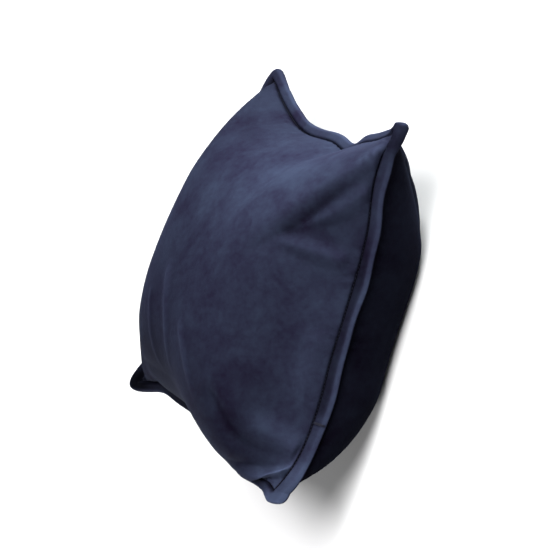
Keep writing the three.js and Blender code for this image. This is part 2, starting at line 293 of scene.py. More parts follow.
def fold_heights(u, v, folds, full):
    """What the folds add: ridges end at the hem, and troughs where there is no filling."""
    u, v = cloth_share(u), cloth_share(v)
    hem = smooth((1 - np.maximum(np.abs(u), np.abs(v))) / FOLD_HEM)
    filled = np.minimum(1, full * FOLD_FADE)
    total = np.zeros_like(u)
    for start, bend, end, width, height in folds:
        nearest = np.full_like(u, np.inf)
        share = np.zeros_like(u)
        route = fold_route(start, bend, end)
        for step in range(FOLD_STEPS):
            (fu, fv), (du, dv) = route[step], route[step + 1] - route[step]
            part = np.clip(((u - fu) * du + (v - fv) * dv) / (du * du + dv * dv), 0, 1)
            distance = np.hypot(u - fu - du * part, v - fv - dv * part)
            closer = distance < nearest
            nearest = np.where(closer, distance, nearest)
            share = np.where(closer, (step + part) / FOLD_STEPS, share)
        ends = smooth(share / FOLD_RISE) * smooth((1 - share) / FOLD_FALL)
        blunt = TROUGH_ROUNDING * width
        sharp = np.exp((blunt - np.hypot(nearest, blunt)) / width)
        total += height * ends * (hem * bump(nearest, width) if height > 0 else filled * sharp)
    return total


def press_flat(z):
    """Heights as the surface below presses the back flat, with a rounded edge to the flat."""
    rounded = np.maximum(z + REST_ROUNDING, 0) ** 2 / (4 * REST_ROUNDING)
    return np.where(z >= REST_ROUNDING, z, np.where(rounded < REST_FLAT, 0, rounded))


def outward(u, v, axis):
    """The flange's direction at a seam: outwards in the sheet, and up by the side's rise."""
    nearby = (u * (1 - NEARBY), v) if axis == 0 else (u, v * (1 - NEARBY))
    direction = unit(sheet_points(u, v, hooked=False) - sheet_points(*nearby, hooked=False))
    names = ("left", "right") if axis == 0 else ("bottom", "top")
    along, across = (v, u) if axis == 0 else (u, v)
    rise = np.where(across > 0, seam_rise(names[1], along), seam_rise(names[0], along))
    direction[..., 2] += rise / FLANGE_WIDTH
    return unit(direction)


def ear_share(u, v):
    """How near a place is to a corner, from 0 to 1 over the length of an ear."""
    return smooth(1 - np.hypot(1 - np.abs(u), 1 - np.abs(v)) / EAR_REACH)


def rounded_corner(out_u, out_v, share):
    """The flange's offsets, a little wider at the ears, with its corners rounded off."""
    longer = 1 + EAR_LONGER * share
    power = EAR_ROUNDNESS
    longest = np.maximum(out_u, out_v)
    total = (out_u**power + out_v**power) ** (1 / power)
    scale = longest / np.maximum(total, 1e-9)
    return out_u * scale * longer, out_v * scale * longer


def seam_rise(name, along):
    """How far the flange's edge stands towards the front along a side."""
    start, middle, end = SIDES[name]["rise"]
    at_end = 1 - smooth((1 - np.abs(along)) / RISE_REACH)
    return middle + (np.where(along < 0, start, end) - middle) * at_end


# The fine grid: even steps of cloth across the crown, and the flange's rings outside it

COVER_CELLS = 192
SIM_CELLS = COVER_CELLS // 2
# The flange's section: share of its width from the stitching out, and half its thickness.
STITCHED_HALF_THICKNESS = 0.4
FLANGE_PROFILE = [
    (0.06, 0.45),
    (0.13, 0.9),
    (0.2, 1.9),
    (0.3, 2.7),
    (0.44, 2.75),
    (0.6, 2.35),
    (0.76, 2.5),
    (0.88, 2.45),
    (0.95, 1.7),
    (0.988, 0.8),
    (1.0, 0.0),
]


def even_stations(cells):
    """Places from -1 to 1 with equal lengths of cloth between them."""
    steps = np.interp(np.linspace(-1, 1, cells + 1), RULER_SHARES, np.linspace(-1, 1, CLOTH_STEPS + 1))
    return np.sin(steps * math.pi / 2)


class Grid:
    """Places of a panel's grid with the flange's rings: coordinate, way out and half thickness."""

    def __init__(self, at, rings, channel):
        rings_out = [(share * FLANGE_WIDTH, half) for share, half in rings]
        left = [(-1.0, out, half) for out, half in reversed(rings_out)]
        right = [(1.0, out, half) for out, half in rings_out]
        stations = left + [(place, 0.0, channel) for place in at] + right
        self.rings = len(rings)
        self.at, self.out, self.half = np.array(stations).T
        self.u, self.v = np.meshgrid(self.at, self.at, indexing="ij")
        self.out_u, self.out_v = np.meshgrid(self.out, self.out, indexing="ij")
        half_u, half_v = np.meshgrid(self.half, self.half, indexing="ij")
        self.halves = np.where(self.out_u > self.out_v, half_u, half_v)


def panel_points(grid, side):
    """The panel with its main folds and its half of the flange."""
    u, v = grid.u, grid.v
    points = crown_points(u, v, side)
    folded = fold_heights(u, v, FRONT_FOLDS if side > 0 else BACK_FOLDS, fullness(u, v, side))
    points += normals_inside(u, v, side) * folded[..., None]
    out_u, out_v = rounded_corner(grid.out_u, grid.out_v, ear_share(u, v))
    points += outward(u, v, 0) * out_u[..., None] + outward(u, v, 1) * out_v[..., None]
    points[..., 2] += side * grid.halves * (1 + EAR_THICKER * ear_share(u, v))
    if side < 0:
        points[..., 2] = press_flat(points[..., 2])
    return points


def plan_middle():
    """The middle of the part's box in plan, before it was moved onto the origin."""
    at = np.sin(np.pi / 2 * (2 * np.arange(CAD_CELLS + 1) / CAD_CELLS - 1))
    points = panel_points(Grid(at, CAD_RINGS, CHANNEL_HALF_THICKNESS), 1)
    lows = points.reshape(-1, 3).min(0)
    highs = points.reshape(-1, 3).max(0)
    return np.array([(lows[0] + highs[0]) / 2, (lows[1] + highs[1]) / 2, 0.0])


MIDDLE = plan_middle()

# Uneven detail: seeded sums of waves, so that each run gives the same cushion


class Waves:
    """A smooth uneven line through 0, of about unit height, with the given range of periods."""

    def __init__(self, seed, shortest, longest, count=9):
        draw = np.random.default_rng(seed)
        self.rates = 2 * math.pi / np.exp(draw.uniform(math.log(shortest), math.log(longest), count))
        self.phases = draw.uniform(0, 2 * math.pi, count)
        self.scale = math.sqrt(2 / count)

    def __call__(self, x):
        return np.sin(x[..., None] * self.rates + self.phases).sum(-1) * self.scale


SIDE_AXES = {"left": (0, -1), "right": (0, 1), "bottom": (1, -1), "top": (1, 1)}
HALF_SEAM = 170.0
SEEDS = {"left": 11, "right": 23, "bottom": 37, "top": 53}


def beside_seam(grid, name):
    """Each place's distance along a side's seam, off it by the cloth, and out on the flange, in
    millimetres, and whether it is on that side's flange."""
    axis, sign = SIDE_AXES[name]
    along, across, out = (grid.v, grid.u, grid.out_u) if axis == 0 else (grid.u, grid.v, grid.out_v)
    off = (1 - cloth_share(across) * sign) * CLOTH_LENGTH / 2
    return along * HALF_SEAM, off, out, across * sign >= 1


# How far the stuffed cloth swells up from the stitching, and over which length of cloth.
HEM_SWELL = 2.4
HEM_SWELL_REACH = 3.4
HEM_SWELL_FADE = 30.0
# How the flange's edge waves up and down.
FLANGE_RIPPLE = 0.55
FLANGE_RIPPLE_PERIODS = (45, 150)
FLANGE_RIPPLE_POWER = 1.2
# The gathers beside the stitching: their mean height and their sharp troughs as shares of the
# depth, where they start and end, and how they slant as they run in.
PUCKER_DEPTH = 0.8
PUCKER_MEAN = 0.65
PUCKER_TROUGH = 1.5
PUCKER_PERIODS = (9, 40)
PUCKER_WAVES = 14
PUCKER_REACH = 11.0
PUCKER_START = 2.5
PUCKER_SKEW = 0.3
PUCKER_SKEW_LENGTH = 41
# The gathers come in groups: how strong these are, how much that varies, and its limits.
GROUP_PERIODS = (60, 200)
GROUP_WAVES = 5
GROUP_STRENGTH = 0.55
GROUP_SWING = 0.6
GROUP_LIMITS = (0.1, 1.4)
# How late along a seam its ripples and gathers end, towards the ears.
SEAM_END_POWER = 10

# Fine creases of the front, too small for the solid, placed as its folds are.
FINE_FOLDS = [
    ((-0.18, -0.02), (-0.02, -0.34), (0.06, -0.62), 0.028, 1.6),
    ((0.12, -0.24), (0.25, -0.42), (0.36, -0.62), 0.022, 1.4),
    ((-0.3, -0.2), (-0.2, -0.45), (-0.12, -0.7), 0.025, 1.2),
]


def detail_offsets(grid, side):
    """Small uneven shapes that the solid leaves out: flange ripples and puckers at the seams."""
    lift = np.zeros_like(grid.u)
    pucker = fold_heights(grid.u, grid.v, FINE_FOLDS, 1.0) * (side > 0)
    for name in SIDE_AXES:
        along, off, out, here = beside_seam(grid, name)
        inside = np.clip(1 - (np.abs(along) / HALF_SEAM) ** SEAM_END_POWER, 0, 1)
        ripple = Waves(SEEDS[name], *FLANGE_RIPPLE_PERIODS)(along) * FLANGE_RIPPLE
        lift += np.where(here, ripple * (out / FLANGE_WIDTH) ** FLANGE_RIPPLE_POWER * inside, 0)
        gathers = Waves(SEEDS[name] + side, *PUCKER_PERIODS, count=PUCKER_WAVES)
        groups = Waves(SEEDS[name] + 5 * side, *GROUP_PERIODS, count=GROUP_WAVES)
        wander = along + PUCKER_SKEW * off * np.sin(along / PUCKER_SKEW_LENGTH + side)
        swell = (1 - bump(off, HEM_SWELL_REACH)) * np.exp(-off / HEM_SWELL_FADE)
        pucker += HEM_SWELL * swell * inside
        fade = np.exp(-off / PUCKER_REACH) * (1 - np.exp(-off / PUCKER_START)) * inside
        fade = fade * np.clip(GROUP_STRENGTH + GROUP_SWING * groups(along), *GROUP_LIMITS)
        pucker += PUCKER_DEPTH * fade * (PUCKER_MEAN - PUCKER_TROUGH * np.abs(gathers(wander)))
    return lift, pucker


# Painted light and shade in the velvet's colour, a value at each point: painted shade in the
# stitching's channel, where the pile is also pressed in, and in creases, and painted highlights on
# creases' crests, on the flange's outer edge, which is also worn, and in the lower right ear.
# The stitching's channel: how far its painted shade reaches, where the pile is also pressed in, and how dark
# it is.
CHANNEL_REACH = 3.2
CHANNEL_SHADE_AND_PRESSED_PILE = 0.93
# A painted highlight on the flange's rounded outer edge, where the pile is also worn, and the share of the
# flange's width where it begins.
EDGE_HIGHLIGHT_AND_WEAR = 0.7
EDGE_HIGHLIGHT_FROM = 2 / 3
# Painted light: the front lighter towards its top and its right, as the light falls.
PAINTED_LIGHT_SLOPE = {"up": 0.4, "right": 0.1}
# Painted shade in creases, painted highlights on their crests and on the fine creases.
CREASE_PAINTED_SHADE = 0.04
CREST_PAINTED_HIGHLIGHT = 0.045
FINE_CREST_PAINTED_HIGHLIGHT = 0.2
# Painted light in the lower right ear, painted shade in the two left ears.
EAR_PAINTED_LIGHT_AND_SHADE = {(1, -1): 0.75, (-1, 1): -0.4, (-1, -1): -0.5}
# Painted shade over the whole back panel, full from this far off the stitching.
BACK_PAINTED_SHADE = 0.66
BACK_PAINTED_SHADE_REACH = 6.0
# The darkest that the painted shade may go.
PAINTED_SHADE_DARKEST = -0.97
# Along the right-hand seam: a strip of painted light beside its lower half, painted shade on the
# flange's inner part down to the bar tack, on the whole flange at the upper ear and at the tack.
# Each stretch runs from the place along the seam where it begins to where it is full.
STRIP_PAINTED_LIGHT = 0.35
STRIP_REACH = 34.0
STRIP_STRETCH = (0.3, -0.7)
FLANGE_PAINTED_SHADE = 0.6
FLANGE_SHADE_STRETCH = (1 / 2, 1 / 6)
EAR_FLANGE_PAINTED_SHADE = 0.5
EAR_FLANGE_STRETCH = (0.75, 0.95)
TACK_AT = -0.64
TACK_STRETCH = (TACK_AT, TACK_AT + 1 / 12)
TACK_PAINTED_SHADE = 0.8
TACK_REACH = 1.5
# Broad patches of painted light and shade on the front: place to the right and up by the length
# of cloth, reach and value.
PAINTED_LIGHT_PATCHES = [
    (0.88, 0.5, 0.36, -0.36),
    (0.78, -0.45, 0.24, -0.25),
    (0.5, -0.5, 0.1, 0.2),
    (0.94, 0.71, 0.08, 0.35),
    (0.72, 0.5, 0.1, -0.2),
    (0.92, 0.0, 0.18, 0.15),
    (0.35, 0.72, 0.4, 0.4),
    (0.3, -0.42, 0.35, 0.12),
    (0.6, 0.0, 0.25, -0.1),
    (0.85, -0.8, 0.3, 0.35),
    (-0.6, -0.3, 0.35, -0.3),
    (-0.15, -0.85, 0.45, -0.65),
    (-0.6, 0.9, 0.35, -0.2),
    (0.2, 0.97, 0.06, -0.6),
    (0.97, -0.76, 0.07, 0.8),
    (0.84, -0.79, 0.06, 0.5),
    (0.72, -0.83, 0.06, 0.35),
    (0.6, -0.9, 0.06, 0.2),
]


def front_painted_light(grid):
    """The front's painted light and shade: lighter upwards and rightwards, on fine crests, in its ears and
    patches.
    """
    pile_and_painted_light = PAINTED_LIGHT_SLOPE["up"] * grid.v + PAINTED_LIGHT_SLOPE["right"] * grid.u
    pile_and_painted_light = pile_and_painted_light + FINE_CREST_PAINTED_HIGHLIGHT * fold_heights(grid.u, grid.v, FINE_FOLDS, 1.0)
    for (right, up), value in EAR_PAINTED_LIGHT_AND_SHADE.items():
        pile_and_painted_light = pile_and_painted_light + value * ear_share(grid.u, grid.v) * (grid.u * right > 0) * (grid.v * up > 0)
    for right, up, reach, value in PAINTED_LIGHT_PATCHES:
        away = np.hypot(cloth_share(grid.u) - right, cloth_share(grid.v) - up)
        pile_and_painted_light = pile_and_painted_light + value * bump(away, reach)
    return pile_and_painted_light


def right_seam_painted_light(grid, lighter_share):
    """Painted light beside the right-hand seam, and painted shade on its flange and at the bar tack."""
    _, off, _, here = beside_seam(grid, "right")
    strip = np.where(here, 1, bump(off - STRIP_REACH / 2, STRIP_REACH))
    above_tack = ramp(grid.v, *FLANGE_SHADE_STRETCH) * ramp(grid.v, *TACK_STRETCH)
    painted_shade = FLANGE_PAINTED_SHADE * above_tack * (1 - lighter_share)
    painted_shade = painted_shade + (EAR_FLANGE_PAINTED_SHADE + EDGE_HIGHLIGHT_AND_WEAR * lighter_share) * ramp(grid.v, *EAR_FLANGE_STRETCH)
    painted_shade = painted_shade + TACK_PAINTED_SHADE * bump((grid.v - TACK_AT) * HALF_SEAM, TACK_REACH)
    return STRIP_PAINTED_LIGHT * strip * ramp(grid.v, *STRIP_STRETCH) - np.where(here, painted_shade, 0)


def pile_and_painted_light_values(grid, side):
    """The painted light and shade at each place, about 0, with the pile pressed into the stitching."""
    panel_folds = FRONT_FOLDS if side > 0 else BACK_FOLDS
    folds = fold_heights(grid.u, grid.v, panel_folds, fullness(grid.u, grid.v, side))
    # Painted shade in the folds' troughs and painted highlights on their ridges.
    pile_and_painted_light = CREASE_PAINTED_SHADE * np.minimum(folds, 0) + CREST_PAINTED_HIGHLIGHT * np.maximum(folds, 0)
    if side > 0:
        pile_and_painted_light = pile_and_painted_light + front_painted_light(grid)
    off_seams = []
    for name in SIDE_AXES:
        _, off, out, here = beside_seam(grid, name)
        # A painted highlight, with wear, along the flange's outer edge.
        lighter_share = ramp(out / FLANGE_WIDTH, EDGE_HIGHLIGHT_FROM, 1)
        pile_and_painted_light += np.where(here, EDGE_HIGHLIGHT_AND_WEAR * lighter_share, 0)
        if name == "right" and side > 0:
            pile_and_painted_light += right_seam_painted_light(grid, lighter_share)
        off_seams.append(off)
    out = np.maximum(grid.out_u, grid.out_v)
    nearest = np.where(out > 0, out, np.minimum.reduce(off_seams))
    # Painted shade in the stitching's channel, where the pile is also pressed in.
    channel = bump(nearest, CHANNEL_REACH)
    pile_and_painted_light = pile_and_painted_light * (1 - channel) - CHANNEL_SHADE_AND_PRESSED_PILE * channel
    # The back panel's painted shade.
    if side < 0:
        pile_and_painted_light -= BACK_PAINTED_SHADE * ramp(nearest, 0, BACK_PAINTED_SHADE_REACH)
    return np.maximum(pile_and_painted_light, PAINTED_SHADE_DARKEST)


def detailed_points(grid, side, moved):
    """A panel with its detail and the simulation's wrinkles, standing where the part stands."""
    points = panel_points(grid, side)
    lift, pucker = detail_offsets(grid, side)
    points += normals_inside(grid.u, grid.v, side) * pucker[..., None]
    points[..., 2] += lift
    if moved is not None:
        inner = slice(grid.rings, -grid.rings)
        points[inner, inner] += moved
    points -= MIDDLE
    points[..., 2] = np.maximum(points[..., 2], 0)
    return points


# The cloth simulation: the filling presses both panels out of their flat pattern

CLOTH_FRAMES = 22
CLOTH_PRESSURE = 1500.0
CLOTH_CAP = 9.0
ON_FLOOR = 0.5
# The broad swelling is found by a blur, and left out but for a share of it and for the rim.
BLUR_CELLS = 7
RIM_CELLS = 9
BLUR_KEPT = 0.3
WRINKLES_KEPT = 0.4


def blurred(field):
    """The field averaged over some cells each way."""
    reach = np.arange(-3 * BLUR_CELLS, 3 * BLUR_CELLS + 1)
    weights = np.exp(-(reach**2) / (2 * BLUR_CELLS**2))
    weights /= weights.sum()
    for axis in (0, 1):
        padding = [(0, 0)] * 3
        padding[axis] = (3 * BLUR_CELLS, 3 * BLUR_CELLS)
        padded = np.pad(field, padding, mode="edge")
        size = field.shape[axis]
        field = sum(w * np.take(padded, np.arange(i, i + size), axis) for i, w in enumerate(weights))
    return field


def wrinkles(moved):
    """What the simulation adds to the form: its creases, with most of its broad swelling left out."""
    cells = len(moved) - 1
    place = np.minimum(np.arange(cells + 1), cells - np.arange(cells + 1))
    off_rim = smooth(np.minimum(*np.meshgrid(place, place, indexing="ij")) / RIM_CELLS)[..., None]
    moved = moved - (1 - BLUR_KEPT) * off_rim * blurred(moved)
    size = np.maximum(np.linalg.norm(moved, axis=-1, keepdims=True), 1e-9)
    return WRINKLES_KEPT * moved * np.tanh(size / CLOTH_CAP) * CLOTH_CAP / size


def twice_as_fine(field):
    """The field on a grid of half the cell size, with a smooth value halfway between two."""
    for axis in (0, 1):
        line = np.moveaxis(field, axis, 0)
        ends = np.concatenate([2 * line[:1] - line[1:2], line, 2 * line[-1:] - line[-2:-1]])
        halfway = (9 * (ends[1:-2] + ends[2:-1]) - ends[:-3] - ends[3:]) / 16
        finer = np.empty((2 * len(line) - 1,) + line.shape[1:])
        finer[::2], finer[1::2] = line, halfway
        field = np.moveaxis(finer, 0, axis)
    return field


def mesh_object(name, points, faces):
    """A new object in the scene, from points in millimetres."""
    mesh = bpy.data.meshes.new(name)
    mesh.from_pydata((points * METRES).tolist(), [], faces)
    obj = bpy.data.objects.new(name, mesh)
    bpy.context.scene.collection.objects.link(obj)
    return obj


def add_cloth(obj, pattern, pinned):
    """Stretchy cloth cut to its flat pattern, pinned at some points and pressed out evenly."""
    obj.shape_key_add(name="form")
    rest_key = obj.shape_key_add(name="pattern")
    rest_key.data.foreach_set("co", (pattern * METRES).ravel())
    pins = obj.vertex_groups.new(name="pins")
    pins.add(np.nonzero(pinned)[0].tolist(), 1.0, "REPLACE")
    cloth = obj.modifiers.new("cloth", "CLOTH")
    settings = cloth.settings
    settings.quality = 6
    settings.mass = 0.3
    settings.tension_stiffness = settings.compression_stiffness = 40
    settings.shear_stiffness = 12
    settings.bending_stiffness = 0.6
    settings.tension_damping = settings.compression_damping = settings.shear_damping = 8
    settings.air_damping = 2
    settings.vertex_group_mass = "pins"
    settings.rest_shape_key = rest_key
    settings.use_pressure = True
    settings.uniform_pressure_force = CLOTH_PRESSURE
    settings.effector_weights.gravity = 0
    cloth.collision_settings.use_self_collision = False
    cloth.collision_settings.use_collision = False
    cloth.point_cache.frame_start, cloth.point_cache.frame_end = 1, CLOTH_FRAMES


def settled_points(obj):
    """The object's points in millimetres once its cloth has run, and the object is gone."""
    scene = bpy.context.scene
    for frame_number in range(1, CLOTH_FRAMES + 1):
        scene.frame_set(frame_number)
    evaluated = obj.evaluated_get(bpy.context.evaluated_depsgraph_get())
    settled = np.empty(len(obj.data.vertices) * 3)
    evaluated.data.vertices.foreach_get("co", settled)
    scene.frame_set(1)
    mesh = obj.data
    bpy.data.objects.remove(obj)
    bpy.data.meshes.remove(mesh)
    return settled.reshape(-1, 3) / METRES


def simulated_wrinkles():
    """What the filling's pressure adds to each panel, on the cover's grid."""
    at = even_stations(SIM_CELLS)
    n = len(at)
    grid = Grid(at, [], 0.0)
    starts = [panel_points(grid, 1), panel_points(grid, -1)]
    points, faces = closed_skin(*starts)
    flat = np.linspace(-0.5, 0.5, n) * CLOTH_LENGTH
    square = np.stack([*np.meshgrid(flat, flat, indexing="ij"), np.zeros((n, n))], -1)
    pattern, _ = closed_skin(square, square)
    rim = np.zeros((n, n), bool)
    rim[0, :] = rim[-1, :] = rim[:, 0] = rim[:, -1] = True
    on_floor = starts[1][1:-1, 1:-1, 2].ravel() < ON_FLOOR
    obj = mesh_object("cloth_start", points, faces)
    add_cloth(obj, pattern, np.concatenate([rim.ravel(), on_floor]))
    moved = settled_points(obj) - points
    moved_front = moved[: n * n].reshape(n, n, 3)
    moved_back = np.zeros((n, n, 3))
    moved_back[1:-1, 1:-1] = moved[n * n :].reshape(n - 2, n - 2, 3)
    return [twice_as_fine(wrinkles(m)) for m in (moved_front, moved_back)]


def new_object(name, points, faces, material):
    """A smooth-shaded object with its material."""
    obj = mesh_object(name, points, faces)
    mesh = obj.data
    mesh.validate()
    mesh.polygons.foreach_set("use_smooth", [True] * len(mesh.polygons))
    mesh.materials.append(material)
    return obj


def skin_values(front, back):
    """One value for each point of the closed skin."""
    return np.concatenate([front.ravel(), back[1:-1, 1:-1].ravel()])


def closed_skin(front, back):
    """Both panels as one closed mesh: the back's rim is the front's."""
    n = len(front)
    index = np.arange(n * n).reshape(n, n)
    back_index = index.copy()
    back_index[1:-1, 1:-1] = n * n + np.arange((n - 2) ** 2).reshape(n - 2, n - 2)
    points = np.concatenate([front.reshape(-1, 3), back[1:-1, 1:-1].reshape(-1, 3)])

    def quads(grid_index, flip):
        corners = [grid_index[:-1, :-1], grid_index[1:, :-1], grid_index[1:, 1:], grid_index[:-1, 1:]]
        cells = np.stack([c.ravel() for c in corners], -1)
        return cells[:, ::-1] if flip else cells

    faces = np.concatenate([quads(index, False), quads(back_index, True)])
    return points, faces.tolist()


# Materials: each noise and each shader by its sockets' values, lengths in metres

# The deep navy, and the paler navy of random patches, which is also the lit colour of the painted light.
NAVY_DEEP = (0.0024, 0.0018, 0.005, 1)
NAVY_PALE_AND_LIT = (0.0058, 0.0075, 0.0136, 1)
PATCHES = {"Scale": 24, "Detail": 5, "Roughness": 0.6, "Distortion": 0.5}
MOTTLE = {"Scale": 150, "Detail": 5, "Roughness": 0.65}
MOTTLE_SHARE = 0.5
# Where the two noises' sum turns from the deep navy to the paler navy, which the painted light also tints
# towards.
SPREAD = {"From Min": 0.47, "From Max": 1.03}
MOTTLE_BUMP = {"Strength": 0.5, "Distance": 0.0008}
PILE = {"Scale": 1900, "Detail": 3, "Roughness": 0.7}
PILE_BUMP = {"Strength": 0.5, "Distance": 0.00035}
# How strongly the painted light and shade change the colour and the brightness.
PAINTED_LIGHT_COLOUR = 0.3
PAINTED_LIGHT_BRIGHTNESS = 0.95
VELVET = {
    "Roughness": 0.85,
    "Specular IOR Level": 0.006,
    "Sheen Weight": 0.015,
    "Sheen Roughness": 0.4,
    "Sheen Tint": (0.36, 0.44, 0.85, 1),
}
TWIST = {"Scale": 2600, "Detail": 2, "Roughness": 0.55}
TWIST_BUMP = {"Strength": 0.6, "Distance": 0.0002}
THREAD = {"Base Color": (0.0028, 0.003, 0.0062, 1), "Roughness": 0.6, "Specular IOR Level": 0.05}


def set_sockets(node, values):
    """Gives a node's inputs their constant values."""
    for name, value in values.items():
        node.inputs[name].default_value = value


def node_tree(name, surface):
    """A new material with its shader's constants, and its nodes, links and shader."""
    material = bpy.data.materials.new(name)
    material.use_nodes = True
    nodes, links = material.node_tree.nodes, material.node_tree.links
    shader = nodes["Principled BSDF"]
    set_sockets(shader, surface)
    return material, nodes, links, shader


def noise(nodes, links, coordinates, values):
    """A noise texture's output."""
    texture = nodes.new("ShaderNodeTexNoise")
    set_sockets(texture, values)
    links.new(coordinates, texture.inputs["Vector"])
    return texture.outputs["Fac"]


def math_node(nodes, links, operation, first, second):
    """The output of an operation on a socket and a number, or on two sockets."""
    node = nodes.new("ShaderNodeMath")
    node.operation = operation
    for socket, value in zip(node.inputs, (first, second)):
        if isinstance(value, (int, float)):
            socket.default_value = value
        else:
            links.new(value, socket)
    return node.outputs["Value"]


def bump_node(nodes, links, height, values, normal=None):
    """The normal after a bump of the given strength and distance, on top of another or alone."""
    node = nodes.new("ShaderNodeBump")
    set_sockets(node, values)
    links.new(height, node.inputs["Height"])
    if normal is not None:
        links.new(normal, node.inputs["Normal"])
    return node.outputs["Normal"]


def colour_mix(nodes):
    """A node that mixes two colours."""
    node = nodes.new("ShaderNodeMix")
    node.data_type = "RGBA"
    return node


def velvet_material():
    """Navy velvet, deep or paler in soft random patches, lighter and tinted towards the lit navy where its
    attribute paints light, darker where it paints shade.
    """
    material, nodes, links, shader = node_tree("navy_velvet", VELVET)
    coordinates = nodes.new("ShaderNodeTexCoord").outputs["Object"]
    patches = noise(nodes, links, coordinates, PATCHES)
    mottle = noise(nodes, links, coordinates, MOTTLE)
    pile = noise(nodes, links, coordinates, PILE)
    little = math_node(nodes, links, "MULTIPLY", mottle, MOTTLE_SHARE)
    uneven = math_node(nodes, links, "ADD", patches, little)
    spread = nodes.new("ShaderNodeMapRange")
    set_sockets(spread, SPREAD)
    links.new(uneven, spread.inputs["Value"])
    pile_and_painted_light = nodes.new("ShaderNodeAttribute")
    pile_and_painted_light.attribute_name = "pile_and_painted_light"
    colour = colour_mix(nodes)
    colour.inputs["A"].default_value = NAVY_DEEP
    colour.inputs["B"].default_value = NAVY_PALE_AND_LIT
    painted_light_tint = math_node(nodes, links, "MULTIPLY", pile_and_painted_light.outputs["Fac"], PAINTED_LIGHT_COLOUR)
    lighter_share = math_node(nodes, links, "ADD", spread.outputs["Result"], painted_light_tint)
    links.new(lighter_share, colour.inputs["Factor"])
    lighter = colour_mix(nodes)
    lighter.blend_type = "MULTIPLY"
    lighter.inputs["Factor"].default_value = 1.0
    brightness = math_node(nodes, links, "MULTIPLY", pile_and_painted_light.outputs["Fac"], PAINTED_LIGHT_BRIGHTNESS)
    links.new(colour.outputs["Result"], lighter.inputs["A"])
    links.new(math_node(nodes, links, "ADD", brightness, 1.0), lighter.inputs["B"])
    links.new(lighter.outputs["Result"], shader.inputs["Base Color"])
    soft = bump_node(nodes, links, mottle, MOTTLE_BUMP)
    links.new(bump_node(nodes, links, pile, PILE_BUMP, soft), shader.inputs["Normal"])
    return material


def thread_material():
    """Navy sewing thread."""
    material, nodes, links, shader = node_tree("navy_thread", THREAD)
    coordinates = nodes.new("ShaderNodeTexCoord").outputs["Object"]
    twist = noise(nodes, links, coordinates, TWIST)
    links.new(bump_node(nodes, links, twist, TWIST_BUMP), shader.inputs["Normal"])
    return material


# The cover

velvet = velvet_material()
thread = thread_material()
cover_grid = Grid(even_stations(COVER_CELLS), FLANGE_PROFILE, STITCHED_HALF_THICKNESS)
wrinkled = simulated_wrinkles()
front = detailed_points(cover_grid, 1, wrinkled[0])
back = detailed_points(cover_grid, -1, wrinkled[1])
cover = new_object("cushion_cover", *closed_skin(front, back), velvet)
# The painted light and shade, with the pressed pile, as a value at each point of the cover.
pile_and_painted_light_layer = cover.data.attributes.new("pile_and_painted_light", "FLOAT", "POINT")
pile_and_painted_light_layer.data.foreach_set("value", skin_values(pile_and_painted_light_values(cover_grid, 1), pile_and_painted_light_values(cover_grid, -1)))
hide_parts("cushion")
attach(cover, "root")

# The topstitching: a row of stitches along each seam on both faces, and a bar tack across the
# right-hand flange

STITCH_LENGTH = 2.7
STITCH_GAP = 0.5
STITCH_RADIUS = 0.36
STITCH_ARCH = 0.3
STITCH_SINK = 0.35
STITCH_END_POWER = 4
STITCH_STEPS = 5
STITCH_SIDES = 6
# How a thread's ends are rounded off, and the least share of its section that is left there.
TUBE_END_POWER = 6
TUBE_END_LEAST = 0.08
SEAM_MARGIN = 1.0
TACK_THREADS = 3
TACK_SPACING = 0.62
TACK_RADIUS = 0.42
TACK_STEPS = 14
# Where a tack's thread begins and ends, as shares of the way across the flange.
TACK_REACHES = (0.02, 0.97)


def line_length(line):
    """The length of a line of points."""
    return np.linalg.norm(np.diff(line, axis=0), axis=1).sum()


def along_line(line, values, distances):
    """Values that are known at a line's points, read at distances from its start."""
    run = np.concatenate([[0], np.cumsum(np.linalg.norm(np.diff(line, axis=0), axis=1))])
    return np.stack([np.interp(distances, run, values[:, k]) for k in range(3)], -1)


def tube(path, ups, radius):
    """A closed tube round a path, with rounded ends."""
    ahead = unit(np.gradient(path, axis=0))
    sideways = unit(np.cross(ahead, ups))
    ups = np.cross(sideways, ahead)
    angles = np.arange(STITCH_SIDES) * 2 * math.pi / STITCH_SIDES
    shares = np.linspace(-1, 1, len(path))
    ends = np.sqrt(np.clip(1 - shares**TUBE_END_POWER, TUBE_END_LEAST, 1))
    rings = path[:, None] + radius * ends[:, None, None] * (
        np.cos(angles)[:, None] * sideways[:, None] + np.sin(angles)[:, None] * ups[:, None]
    )
    points = np.concatenate([rings.reshape(-1, 3), path[:1], path[-1:]])
    index = np.arange(len(path) * STITCH_SIDES).reshape(len(path), STITCH_SIDES)
    turned = np.roll(index, -1, axis=1)
    quads = np.stack([index[:-1], turned[:-1], turned[1:], index[1:]], -1).reshape(-1, 4)
    first, last = len(points) - 2, len(points) - 1
    caps = [(first, int(b), int(a)) for a, b in zip(index[0], turned[0])]
    caps += [(last, int(a), int(b)) for a, b in zip(index[-1], turned[-1])]
    return points, [tuple(int(i) for i in quad) for quad in quads] + caps


def joined(tubes):
    """Many tubes' points and faces as one mesh."""
    points, faces, total = [], [], 0
    for tube_points, tube_faces in tubes:
        points.append(tube_points)
        faces += [tuple(i + total for i in face) for face in tube_faces]
        total += len(tube_points)
    return np.concatenate(points), faces


def seam_lines(panel, side):
    """Each seam's line on a panel, with the panel's outward directions along it."""
    first = cover_grid.rings
    last = len(panel) - 1 - first
    inner = slice(first, last + 1)
    for rows in (panel, panel.swapaxes(0, 1)):
        for at, outwards in ((last, 1), (first, -1)):
            line = rows[at, inner]
            across = rows[at + 2 * outwards, inner] - rows[at - outwards, inner]
            ups = unit(np.cross(unit(np.gradient(line, axis=0)), across))
            yield line, ups * np.sign(ups[:, 2:].sum()) * side


